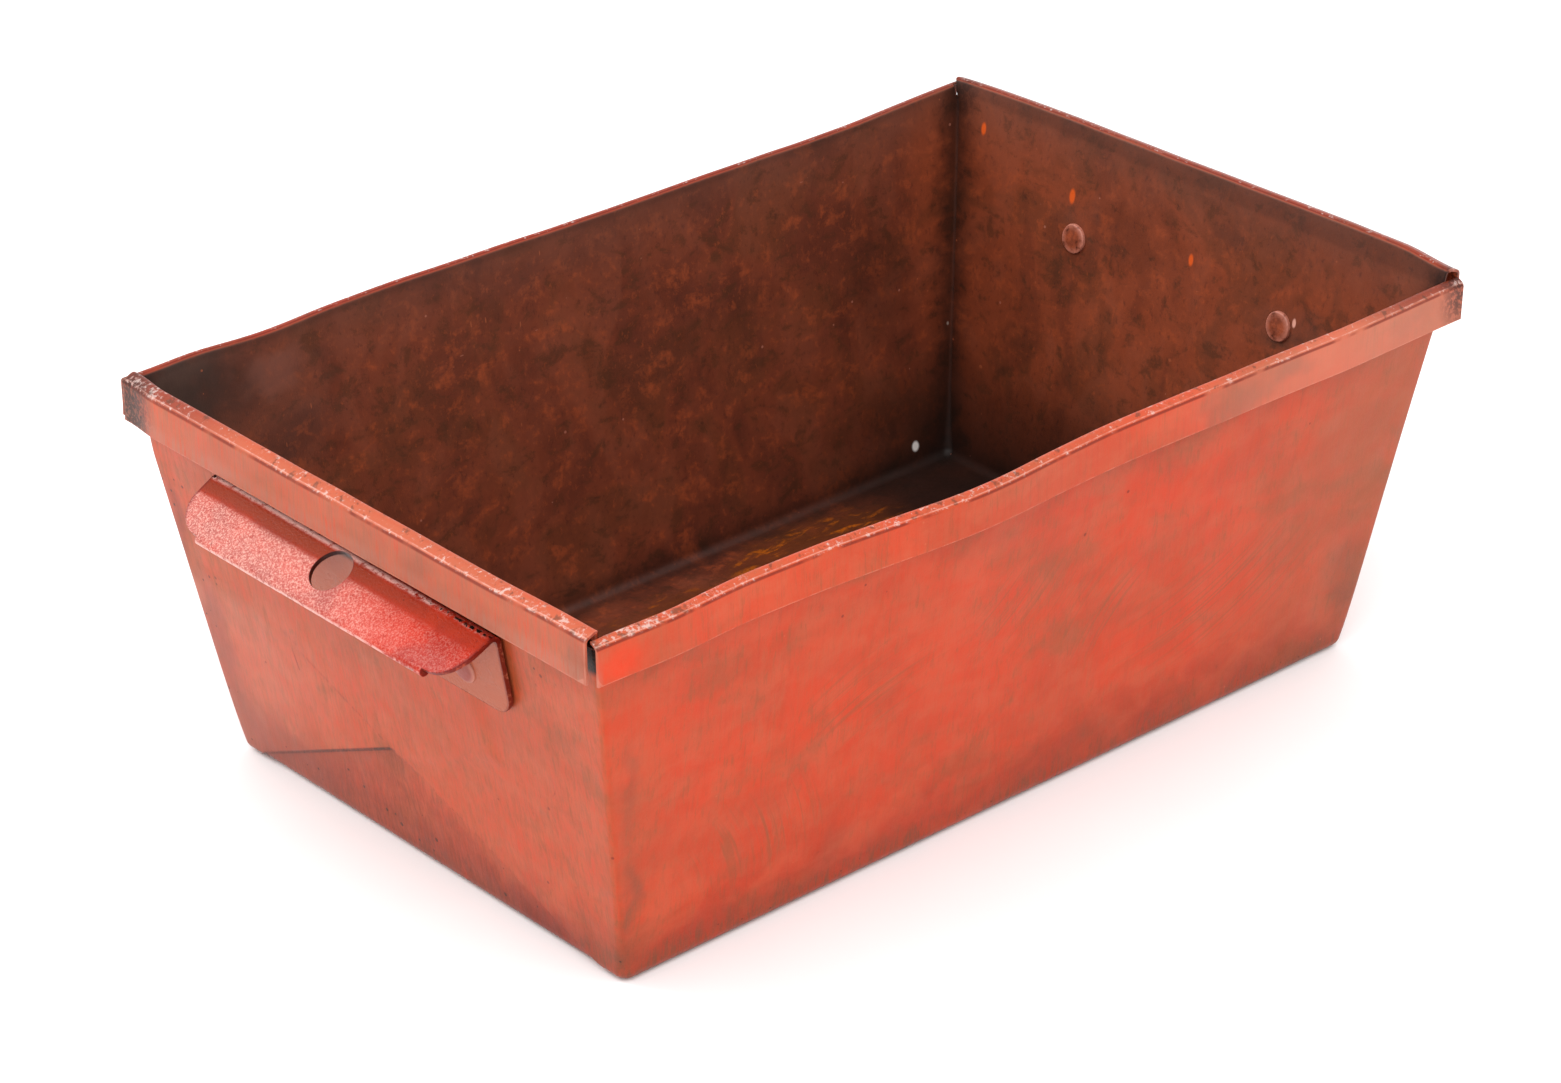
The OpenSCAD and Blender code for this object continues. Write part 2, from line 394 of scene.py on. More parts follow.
def row_paint(section, row):
    """Attribute colours of the face and the back at a row."""
    s, part = row
    first, last = section.bounds(part)
    share = (s - first) / max(last - first, 1e-6)
    crease = 0.75 + 0.25 * smooth(0, 0.2, share) - 0.6 * smooth(0.2, 0.5, share) - 0.3 * smooth(0.5, 1, share)
    inside = {LIP: 1, BEND: 1, WALL: 1, CREST: 1 - smooth(0.1, 0.45, share)}.get(part, 0)
    wear = {CREST: smooth(0.2, 0.6, share) * 0.6, TOP: 0.75, CREASE: crease}.get(part, 0)
    return (inside, wear, 0.0), (0.0, 0.0, 0.0)


# ---- Pan ----

SIDE_COLUMNS = 96
END_COLUMNS = 64
RELIEF_SHARE = 0.55


def side_half(i):
    """Half-length of row i of a long side."""
    if i == 0:
        return end_section.at(0)[0].x
    _, flap, radius = corner_row(min(i, LAST_LEVEL))
    return flap[0].x - radius


def end_half(i):
    """Half-width of row i of an end: it widens above the flaps, to close the corner under the rim."""
    s, part = end_rows[i]
    point = end_section.at(s)[0]
    wall = side_wall(point.y)
    if i == 0:
        return side_section.at(0)[0].x
    if part == BEND:
        side, _, radius = corner_row(i)
        return side[0].x - max(radius - CORNER_TUCK, 0)
    if part == WALL:
        beside_flap = wall - corner_radius(point.y) + CORNER_TUCK
        return lerp(beside_flap, wall + 0.1, smooth(FLAP_TOP - 2.4, FLAP_TOP - 0.6, point.y))
    first, last = end_section.bounds(CREST)
    return lerp(wall + 0.1, RIM_Y + END_RUN, smooth(0, 0.6, (s - first) / (last - first)))


def add_floor(sheet):
    half_x = end_section.at(0)[0].x
    half_y = side_section.at(0)[0].x
    grid = []
    for x in spread(-half_x, half_x, SIDE_COLUMNS):
        row = []
        for y in spread(-half_y, half_y, END_COLUMNS):
            row.append(((x, y, SHEET), (x, y, 0), (1.0, 0.0, 0.0), (0.0, 0.0, 0.0)))
        grid.append(row)
    sheet.patch(grid)


def add_side(sheet, sign):
    """One long side: its columns run along X, with a few more past the wall where the rim runs on."""
    relief = CREST_ROWS * RELIEF_SHARE
    first_crest = LAST_LEVEL + 1
    extra = 3
    grid = []
    for i, (s, _) in enumerate(side_rows):
        face, back = row_faces(side_section, s)
        half = side_half(i)
        paints = row_paint(side_section, side_rows[i])
        past = spread(half, RIM_X + SIDE_RUN, extra)[1:]
        xs = [-x for x in reversed(past)] + spread(-half, half, SIDE_COLUMNS) + past
        grid.append([((x, sign * face.x, face.y), (x, sign * back.x, back.y), *paints) for x in xs])

    def keep(i, j):
        return extra <= j < extra + SIDE_COLUMNS or i >= first_crest + relief

    sheet.patch(grid, keep)


def add_end(sheet, sign):
    """One end ply with its rim: its columns run along Y."""
    grid = []
    for i, (s, _) in enumerate(end_rows):
        face, back = row_faces(end_section, s)
        half = end_half(i)
        paints = row_paint(end_section, end_rows[i])
        row = []
        for y in spread(-half, half, END_COLUMNS):
            pair = [(sign * p.x, y, lift_rim(sign, y, p.y)) for p in (face, back)]
            row.append((*pair, *paints))
        grid.append(row)
    sheet.patch(grid)


def flap_edge(v, rise):
    """Where a flap's free edge lies, measured from the middle of the end towards the flap's own corner."""
    tip = (FLAP_FOOT + FLAP_REACH) * math.tan(rise)
    if v < tip:
        return FLAP_FOOT - v / math.tan(rise)
    return -FLAP_REACH + (v - tip) * math.tan(FLAP_LEAN)


def outside_rear_flap(y, v):
    """How far a point of an end lies outside the rear flap, in millimetres."""
    below = ((FLAP_FOOT - y) * math.tan(REAR_RISE) - v) * math.cos(REAR_RISE)
    beside = (-FLAP_REACH + (v - rear_tip) * math.tan(FLAP_LEAN) - y) * math.cos(FLAP_LEAN)
    return max(below, beside)


FLAP_COLUMNS = 70
ARC_COLUMNS = 7
LAP_RUN = 7


def add_flap(sheet, end, side):
    """Corner bend and flap. side -1 is the front flap, which rises where it laps over the rear flap."""
    rise = FRONT_RISE if side < 0 else REAR_RISE
    grid = []
    for i in range(FIRST_BEND, LAST_LEVEL + 1):
        wall, flap, radius = corner_row(i)
        level = wall[0].y
        paints = row_paint(side_section, side_rows[i])
        centre_x = flap[0].x - radius
        centre_y = wall[0].x - radius
        row = []
        for k in range(ARC_COLUMNS + 1):
            turn = k / ARC_COLUMNS * math.pi / 2
            pair = []
            for w, f in zip(wall, flap):
                x = centre_x + (f.x - centre_x) * math.sin(turn)
                y = centre_y + (w.x - centre_y) * math.cos(turn)
                pair.append((end * x, side * y, lerp(w.y, f.y, k / ARC_COLUMNS)))
            row.append((*pair, *paints))
        edge = flap_edge(level / UP_SLOPE, rise)
        for y in spread(centre_y, edge, FLAP_COLUMNS)[1:]:
            lift = 0.0
            if side < 0:
                away = outside_rear_flap(side * y, level / UP_SLOPE)
                lift = (SHEET + PLY_GAP) * (1 - smooth(0.6, LAP_RUN, away)) / UP_SLOPE
            row.append(((end * (flap[0].x + lift), side * y, flap[0].y),
                        (end * (flap[1].x + lift), side * y, flap[1].y), *paints))
        grid.append(row)

    def keep(i, j):
        return j < ARC_COLUMNS or i >= 2

    sheet.patch(grid, keep)


# Bows of the long sides: (place along X, reach along X, bow outwards at the rim)
FRONT_BOWS = [(-135, 16, 1.0), (-102, 26, -1.3), (-28, 31, 3.5), (62, 22, 0.4), (112, 30, 1.3)]
REAR_BOWS = [(-135, 10, 1.0), (-108, 16, -1.5), (-70, 18, 0.5), (22, 44, -1.9), (98, 42, -2.9)]
# The right end's bow at its rim, the far left corner's dent, and how far the floor is pushed up
RIGHT_BOW = 2.5
DENT = 1.3
FLOOR_RISE = 0.6
# Small uneven places of the rims, all round
RIPPLE = 0.22
# The bows die out at these distances from the middle
NEAR_X = 153
NEAR_Y = 99


def bow(p):
    """Bends a point of the pan or its fittings out of true, as years of use have."""
    bows = FRONT_BOWS if p.y < 0 else REAR_BOWS
    side = math.copysign(1, p.y)
    height = max(p.z, 0) / PAN_H
    near_side = smooth(66, 84, abs(p.y)) * max(0, 1 - (abs(p.x) / NEAR_X) ** 8)
    out = sum(a * math.exp(-(((p.x - c) / w) ** 2)) for c, w, a in bows)
    p.y += side * out * near_side * height ** 1.7
    p.y += side * RIPPLE * noise.noise(Vector((p.x / 17, side, 3.1))) * near_side * height ** 3
    near_end = smooth(120, 136, abs(p.x)) * max(0, 1 - (abs(p.y) / NEAR_Y) ** 6)
    ripple = math.copysign(RIPPLE, p.x) * noise.noise(Vector((p.y / 19, p.x / 300, 7.7)))
    p.x += ripple * near_end * height ** 3
    if p.x > 0:
        corner = max(0, 1 + (abs(p.y) / NEAR_Y) ** 6 * (0.2 if p.y < 0 else -0.8))
        p.x += RIGHT_BOW * smooth(100, 136, p.x) * corner * height ** 2
    else:
        # The far left corner is pushed in
        p.x += DENT * smooth(120, 140, -p.x) * smooth(84, 98, p.y) * smooth(92, 108, p.z)
    hollow = max(0, 1 - (p.x / 130) ** 2) * max(0, 1 - (p.y / 80) ** 2)
    if p.z < 2:
        p.z += FLOOR_RISE * hollow
    return p


def lift_rim(x, y, z):
    """The end rims stand higher than the side rims, most of all along the right end."""
    if x > 0:
        return z + (min(3.6 - 0.018 * y, 4.7) - 1.8 * smooth(-80, -100, y)) * smooth(88, 108, z)
    return z + (1.3 + 0.7 * smooth(-50, -95, y)) * smooth(PAN_H - SKIRT_H, PAN_H - 1, z)


def make_pan():
    sheet = Sheet()
    add_floor(sheet)
    for sign in (-1, 1):
        add_side(sheet, sign)
        add_end(sheet, sign)
    for end in (-1, 1):
        for side in (-1, 1):
            add_flap(sheet, end, side)
    return sheet.build("folded_pan", bow)


# ---- Handles ----

HOOK_STEPS = 28
HOOK_RINGS = 5
BRIM_Y = 14


def handle_section():
    """The strip's upper face as [out from the wall, up the slope]: back leg, ridge, grip and folded hem."""
    ridge_turn = math.pi / 2 + GRIP_FALL - END_LEAN
    ridge_run = RIDGE_R * math.tan(ridge_turn / 2)
    droop_run = DROOP_R * math.tan(GRIP_DROOP / 2)
    hem_r = HANDLE_T + HEM_AIR
    inner = direction(END_LEAN - GRIP_FALL)
    outer_heading = END_LEAN - GRIP_FALL - GRIP_DROOP
    outer = direction(outer_heading)
    top = Vector((SEAT, RIDGE_V + ridge_run))
    droop = top + (ridge_run + GRIP_INNER + droop_run) * inner
    edge = droop + (droop_run + GRIP_OUTER) * outer
    nose = edge + hem_r * outer
    under = nose - 2 * hem_r * left_of(outer_heading)
    end = edge - 2 * hem_r * left_of(outer_heading) - (HEM_L - hem_r) * outer
    return Section([(SEAT, LEG_BOTTOM), top, droop, nose, under, end], [RIDGE_R, DROOP_R, hem_r, hem_r])


H_LEG, H_RIDGE, H_INNER, H_DROOP, H_OUTER, H_NOSE, H_TURN, H_UNDER, H_HEM = range(9)
handle = handle_section()
HEM_W = HANDLE_W / 2 - GRIP_CORNER_R - 1


def at_end(out, y, up):
    """From [out of the wall, across, up its slope] to the row frame, at the right end."""
    return Vector((BASE_X + out * math.cos(END_LEAN) + up * math.sin(END_LEAN), y,
                   up * math.cos(END_LEAN) - out * math.sin(END_LEAN)))


def handle_faces(s_face, s_back, y):
    point, _ = handle.at(s_face)
    behind, normal = handle.at(s_back)
    behind = behind - HANDLE_T * normal
    return (point.x, y, point.y), (behind.x, y, behind.y)


def hook_reach(on_back):
    """A list of (distance down the grip from the ridge bend, s), for one face of the strip."""
    origin = handle.at(handle.bounds(H_INNER)[0])[0]
    along = direction(END_LEAN - GRIP_FALL)
    reach = []
    for s in spread(handle.bounds(H_RIDGE)[0], handle.bounds(H_OUTER)[1], 400):
        point, n = handle.at(s)
        if on_back:
            point = point - HANDLE_T * n
        reach.append(((point - origin).dot(along), s))
    lowest = min(range(len(reach)), key=lambda k: reach[k][0])
    return reach[lowest:]


hook_tables = (hook_reach(False), hook_reach(True))


def s_at(distance, table):
    for (a, s), (b, t) in zip(table, table[1:]):
        if a <= distance <= b:
            return lerp(s, t, (distance - a) / max(b - a, 1e-9))
    return table[-1][1]


def handle_marks(s):
    """Attribute colours: worn paint and painted highlight on the ridge and the hem's nose, and painted shade
    below the ridge.
    """
    first, last = handle.bounds(H_RIDGE)
    nose = handle.bounds(H_TURN)[0]
    on_ridge = math.exp(-(((s - lerp(first, last, 0.85)) / 0.85) ** 2))
    on_hem = 0.6 * smooth(nose - 1.6, nose - 0.8, s) * (1 - smooth(nose, nose + 1, s))
    shade_stripe = smooth(last - 0.6, last + 1.4, s) * (1 - smooth(last + 3, last + 7.5, s))
    leg = 1 - smooth(first, lerp(first, last, 0.35), s)
    return (leg, max(on_ridge, on_hem), shade_stripe), (1.0, 0.0, 0.0)


def half_width(s):
    """Half the strip's width at s, with the corners of the leg and of the grip rounded."""
    edge = handle.bounds(H_OUTER)[1]
    for r, left in ((LEG_CORNER_R, s), (GRIP_CORNER_R, edge - s)):
        if left < r:
            left = max(left, 0)
            return HANDLE_W / 2 - r + math.sqrt(max(r * r - (r - left) ** 2, 0))
    return HANDLE_W / 2


def hook_window():
    """The patch round the hook hole: its first and last s, and half its width."""
    flat = handle.bounds(H_INNER)[0]
    return flat - 3.4, flat + 13.9, 8.8


def handle_rows():
    """The s of every row up to the grip's edge."""
    first, last, _ = hook_window()
    edge = handle.bounds(H_OUTER)[1]
    rows = [LEG_CORNER_R * (1 - math.cos(math.radians(a))) for a in range(0, 91, 10)]
    rows += spread(LEG_CORNER_R, handle.bounds(H_RIDGE)[0], 8)[1:]
    ridge = handle.bounds(H_RIDGE)[0]
    rows += spread(ridge, first, 3)[1:]
    inside = len(rows) - 1
    rows += spread(first, last, HOOK_STEPS)[1:]
    tail = edge - last
    rows += [edge - tail * (1 - math.sin(math.radians(a))) for a in (18, 36, 54, 72, 90)]
    return rows, inside


def row_of_ys(s, window):
    """Across one row: a fixed middle with the window's columns, and outer stretches out to the edge."""
    half = half_width(s)
    tab = min(HEM_W, half)
    ys = spread(0, window, HOOK_STEPS // 2) + spread(window, BRIM_Y, 3)[1:]
    ys += spread(BRIM_Y, tab - 2 if half > HEM_W else tab, 18)[1:]
    ys += spread(ys[-1], half, 12)[1:]
    return [-y for y in reversed(ys[1:])] + ys


def add_hook_patch(sheet):
    """Rings that pass from the window's square outline to the round hole, cut square to the grip."""
    first, last, window = hook_window()
    flat = handle.bounds(H_INNER)[0]
    n = HOOK_STEPS
    corners = [(first, -window), (last, -window), (last, window), (first, window)]
    outline = [(lerp(p[0], q[0], k / n), lerp(p[1], q[1], k / n))
               for p, q in zip(corners, corners[1:] + corners[:1]) for k in range(n)]
    centre = flat + HOOK_DOWN
    grid = []
    for s, y in outline + outline[:1]:
        a = math.atan2(y, s - centre)
        hole_y = HOOK_R * math.sin(a)
        down = HOOK_DOWN + HOOK_R * math.cos(a)
        hole = [s_at(down, table) for table in hook_tables]
        row = []
        for k in range(HOOK_RINGS + 1):
            t = 1 - (1 - k / HOOK_RINGS) ** 1.6
            s_face, s_back = (lerp(s, h, t) for h in hole)
            row.append((*handle_faces(s_face, s_back, lerp(y, hole_y, t)), *handle_marks(s_face)))
        grid.append(row)
    sheet.patch(grid)


def add_hem(sheet, start_row):
    """The tab beyond the grip's edge, folded under and back."""
    rows = []
    edge = handle.bounds(H_OUTER)[1]
    for part, count in ((H_NOSE, 8), (H_TURN, 1), (H_UNDER, 8), (H_HEM, 4)):
        rows += handle.stations(part, count)
    rows = [s for s in rows if s > edge + 1e-4]
    grid = [start_row]
    for s in rows:
        grid.append([(*handle_faces(s, s, n[0][1]), *handle_marks(s)) for n in start_row])
    sheet.patch(grid)


def make_handle(name, sign):
    sheet = Sheet()
    rows, inside = handle_rows()
    window = hook_window()[2]
    grid = []
    for s in rows:
        grid.append([(*handle_faces(s, s, y), *handle_marks(s)) for y in row_of_ys(s, window)])
    middle = len(grid[0]) // 2
    half = HOOK_STEPS // 2

    def keep(i, j):
        in_window = inside <= i < inside + HOOK_STEPS and middle - half <= j < middle + half
        return not in_window

    sheet.patch(grid, keep)
    add_hook_patch(sheet)
    tab = [n for n in grid[-1] if abs(n[0][1]) <= HEM_W + 1e-6]
    add_hem(sheet, tab)

    def place(p):
        """Puts a point on its end of the pan; the ridge is a little out of level."""
        q = at_end(*p)
        uneven = 0.016 * q.y - 0.6 * smooth(46, 60, q.y)
        q.z += uneven * smooth(80, 98, p.z) * (1 - smooth(5, 19, p.x))
        return bow(Vector((sign * q.x, q.y, q.z)))

    return sheet.build(name, place)


# ---- Rivets ----

LATHE_STEPS = 48


def make_rivet(name, end, side, seed):
    """A flat head inside the wall, a shank, and a domed tail set by hand a little off round."""
    held = SEAT + HANDLE_T
    bend = RIVET_HEAD_R - RIVET_EDGE_R
    head = [(0, -RIVET_HEAD_T), (RIVET_HEAD_R * 0.55, -RIVET_HEAD_T), (bend, -RIVET_HEAD_T + 0.05)]
    head += [(bend + RIVET_EDGE_R * math.sin(a), -RIVET_HEAD_T + 0.05 + RIVET_EDGE_R * (1 - math.cos(a)))
             for a in spread(0.25, math.pi / 2, 5)]
    head += [(RIVET_HEAD_R, 0.0), (RIVET_SHANK_R, 0.02)]
    edge = held + RIVET_TAIL_EDGE
    tail = [(RIVET_SHANK_R, held - 0.02), (RIVET_TAIL_R, held), (RIVET_TAIL_R, edge)]
    tail += [(RIVET_TAIL_R * math.cos(a), edge + (RIVET_TAIL_T - RIVET_TAIL_EDGE) * math.sin(a))
             for a in spread(0.2, math.pi / 2, 8)]
    profile = head + tail
    points, faces, paints = [], [], []

    def add_point(out, across, up, paint):
        p = at_end(out, side * RIVET_PITCH / 2 + across, RIVET_V + up)
        points.append(bow(Vector((end * p.x, p.y, p.z))))
        paints.append((*paint, 0.0, 0.0))

    for r, out in profile[1:-1]:
        for k in range(LATHE_STEPS):
            a = 2 * math.pi * k / LATHE_STEPS
            bumps = noise.noise(Vector((math.cos(a) * 1.3, math.sin(a) * 1.3, seed)))
            wide = r * (1 + 0.035 * bumps * smooth(3, 4, r))
            tilt = 0.06 * r * math.cos(a + seed)
            on_tail = smooth(held, held + 1, out)
            paint = (1.0 - on_tail, smooth(0.7, 0.98, r / RIVET_HEAD_R))
            add_point(out - tilt * on_tail, wide * math.cos(a), wide * math.sin(a), paint)
    rings = len(profile) - 2
    for i in range(rings - 1):
        for k in range(LATHE_STEPS):
            ring = i * LATHE_STEPS
            n = (k + 1) % LATHE_STEPS
            faces.append([ring + k, ring + n, ring + LATHE_STEPS + n, ring + LATHE_STEPS + k])
    for first, (_, out) in ((0, profile[0]), ((rings - 1) * LATHE_STEPS, profile[-1])):
        add_point(out, 0, 0, (float(out < 0), 0.0))
        faces += [[first + k, first + (k + 1) % LATHE_STEPS, len(points) - 1] for k in range(LATHE_STEPS)]
    piece = add_closed_mesh(name, points, faces, paints)
    piece.data.set_sharp_from_angle(angle=math.radians(50))
    return piece


# ---- Materials ----

# How bright the studio is: the pale floor then stays white close up to the pan
STUDIO = 1.2


def rgb(r, g, b):
    """A linear colour from values of 0 to 255, as a surface shows them under the studio's strong light."""
    return tuple((c / 255) ** 2.2 / STUDIO for c in (r, g, b)) + (1,)


class Value:
    """A number that nodes work out; arithmetic with it makes further nodes."""

    def __init__(self, paint, socket):
        self.paint = paint
        self.socket = socket

    def __add__(self, other):
        return self.paint.calc("ADD", self, other)

    def __sub__(self, other):
        return self.paint.calc("SUBTRACT", self, other)

    def __mul__(self, other):
        return self.paint.calc("MULTIPLY", self, other)

    def __abs__(self):
        return self.paint.calc("ABSOLUTE", self)


class Paint:
    """A material whose nodes are made by name. Places and spans are millimetres of the row frame."""

    def __init__(self, name):
        self.material = bpy.data.materials.new(name)
        self.material.use_nodes = True
        self.tree = self.material.node_tree
        self.shader = self.tree.nodes["Principled BSDF"]
        self.colour = None
        coords = self.new("TexCoord", {})
        self.mm = self.vector("MULTIPLY", coords.outputs["Object"], (1 / MM,) * 3)
        self.x, self.y, self.z = self.split(self.mm)
        wander = {"Vector": self.vector("MULTIPLY", self.mm, (0.09,) * 3), "Scale": 1, "Detail": 4}
        wander = self.new("TexNoise", wander).outputs["Color"]
        off = self.vector("MULTIPLY_ADD", wander, (16,) * 3, (-8,) * 3)
        self.wobbly = self.vector("ADD", self.mm, off)
        normal = self.split(coords.outputs["Normal"])
        self.faces_end = self.rise(abs(normal[0]), 0.45, 0.9)
        self.faces_up = self.rise(normal[2], 0.5, 0.9)
        marks = self.new("Attribute", {}, attribute_name="paint")
        self.inside, self.wear, self.shade_stripe = self.split(marks.outputs["Vector"])
        self.free = Value(self, marks.outputs["Alpha"])
        # How far a place is inside the inner face of the nearest long side, and of the nearest end
        self.across = self.calc("MULTIPLY_ADD", self.z, SIDE_SLOPE, BASE_Y) - abs(self.y)
        self.along = self.calc("MULTIPLY_ADD", self.z, END_SLOPE, BASE_X) - abs(self.x)

    def feed(self, socket, value):
        """Links a value into a socket, or sets the socket to it."""
        if isinstance(value, Value):
            value = value.socket
        if isinstance(value, bpy.types.NodeSocket):
            self.tree.links.new(value, socket)
        else:
            socket.default_value = value

    def new(self, kind, inputs, **settings):
        node = self.tree.nodes.new("ShaderNode" + kind)
        for key, value in settings.items():
            setattr(node, key, value)
        for key, value in inputs.items():
            self.feed(node.inputs[key], value)
        return node

    def calc(self, operation, *values):
        return Value(self, self.new("Math", dict(enumerate(values)), operation=operation).outputs[0])

    def greater(self, a, b):
        return self.calc("MAXIMUM", a, b)

    def vector(self, operation, *values):
        return self.new("VectorMath", dict(enumerate(values)), operation=operation).outputs[0]

    def split(self, value):
        return [Value(self, part) for part in self.new("SeparateXYZ", {0: value}).outputs]

    def length(self, vector):
        return Value(self, self.new("VectorMath", {0: vector}, operation="LENGTH").outputs["Value"])

    def rise(self, value, low, high, bottom=0.0, top=1.0):
        """`bottom` where value is at low, `top` where it is at high, with a smooth rise between."""
        sockets = {"Value": value, "From Min": low, "From Max": high, "To Min": bottom, "To Max": top}
        return Value(self, self.new("MapRange", sockets, interpolation_type="SMOOTHSTEP").outputs[0])

    def mix(self, share, a, b):
        node = self.new("Mix", {0: share, 6: a, 7: b}, data_type="RGBA", clamp_factor=True)
        return node.outputs[2]

    def over(self, tint, share):
        """Lays a share of a tint over the colour so far."""
        self.colour = self.mix(share, self.colour, tint)

    def smudges(self, soft, rows):
        """Lays on ragged spots, each with a place, a reach along each axis, a strength and a tint."""
        for place, reach, strength, tint in rows:
            self.over(tint, self.spot(place, reach, soft) * strength)

    def noise(self, spans, detail=2, rough=0.5, warp=0.0, shift=0.0):
        """Noise around 0.5 whose lumps are about as long as the spans."""
        moved = self.vector("MULTIPLY_ADD", self.mm, tuple(1 / s for s in spans), (shift,) * 3)
        sockets = {"Vector": moved, "Scale": 1, "Detail": detail, "Roughness": rough, "Distortion": warp}
        return Value(self, self.new("TexNoise", sockets).outputs[0])

    def specks(self, cell, size, share, shift=0.0, stretch=(1, 1, 1)):
        """Small marks of a given size: one in each of a share of the cells, which are `cell` wide."""
        moved = self.vector("MULTIPLY_ADD", self.mm, tuple(1 / cell / s for s in stretch), (shift,) * 3)
        node = self.new("TexVoronoi", {"Vector": moved, "Scale": 1, "Randomness": 1})
        pick = self.split(node.outputs["Color"])
        reach = pick[1] * (size / cell)
        near = self.rise(reach - node.outputs["Distance"], 0, 0.25 * size / cell)
        return near * self.calc("LESS_THAN", pick[0], share)

    def spot(self, centre, radii, soft=0.7, ragged=True):
        """1 at a place, falling to 0 at an ellipsoid round it."""
        off = self.vector("SUBTRACT", self.wobbly if ragged else self.mm, centre)
        return self.rise(self.length(self.vector("DIVIDE", off, radii)), 1, 1 - soft)

    def stroke(self, start, end, width):
        """1 on a thin line from one place to another."""
        start, end = Vector(start), Vector(end)
        along = end - start
        off = self.vector("SUBTRACT", self.mm, start)
        dot = self.new("VectorMath", {0: off, 1: along / along.length_squared}, operation="DOT_PRODUCT")
        share = self.new("Clamp", {0: dot.outputs["Value"]}).outputs[0]
        foot = self.new("VectorMath", {0: along, "Scale": share}, operation="SCALE").outputs[0]
        gap = self.new("VectorMath", {0: off, 1: foot}, operation="DISTANCE").outputs["Value"]
        return self.rise(gap, width, width * 0.4)

    def swirl(self, centre, spacing):
        """Wiping marks on a long side: fine arcs round a centre given as (x, z)."""
        dx = self.x - centre[0]
        dz = self.z - centre[1]
        radius = self.calc("SQRT", dx * dx + dz * dz)
        turn = self.calc("ARCTAN2", dz, dx)
        place = {0: self.calc("DIVIDE", radius, spacing), 1: turn * 1.6, 2: self.y}
        place = self.vector("MULTIPLY", self.new("CombineXYZ", place).outputs[0], (1, 1, 0.02))
        sockets = {"Vector": place, "Scale": 1, "Detail": 2, "Roughness": 0.6}
        return Value(self, self.new("TexNoise", sockets).outputs[0])

    def bump(self, height, depth, under=None):
        """Turns a height into the shading normal; depth is in millimetres."""
        sockets = {"Height": height, "Distance": depth * MM, "Strength": 1.0}
        if under:
            sockets["Normal"] = under
        return self.new("Bump", sockets).outputs[0]

    def finish(self, roughness, normal, level, coat=0.0):
        """Gives the shader its colour, gloss and normal; uniform values are set on it directly."""
        for key, value in (
            ("Base Color", self.colour),
            ("Roughness", roughness),
            ("Normal", normal),
            ("Specular IOR Level", level),
            ("Coat Weight", coat),
            ("Coat Roughness", 0.2),
        ):
            self.feed(self.shader.inputs[key], value)
        return self.material


ORANGE_RED = rgb(203, 56, 14)
BRICK = rgb(186, 58, 24)
SALMON = rgb(196, 98, 66)
DUSTY = rgb(168, 100, 72)
OLIVE = rgb(134, 76, 44)
DEEP_RED = rgb(112, 30, 14)
BROWN_GREY = rgb(104, 70, 50)
SOOT = rgb(30, 23, 20)
SCUFF = rgb(218, 198, 190)
MAROON = rgb(130, 64, 43)
MAROON_DARK = rgb(70, 38, 31)
MAROON_LIGHT = rgb(164, 78, 46)
UMBER = rgb(78, 48, 32)
GREY_MAROON = rgb(84, 62, 54)
RUST = rgb(204, 104, 14)
RUST_DARK = rgb(104, 54, 20)
CHIP = rgb(224, 92, 36)
CRIMSON = rgb(146, 30, 18)
CRIMSON_RED = rgb(196, 44, 14)
CRIMSON_DARK = rgb(104, 16, 10)
CRIMSON_PALE = rgb(222, 160, 146)


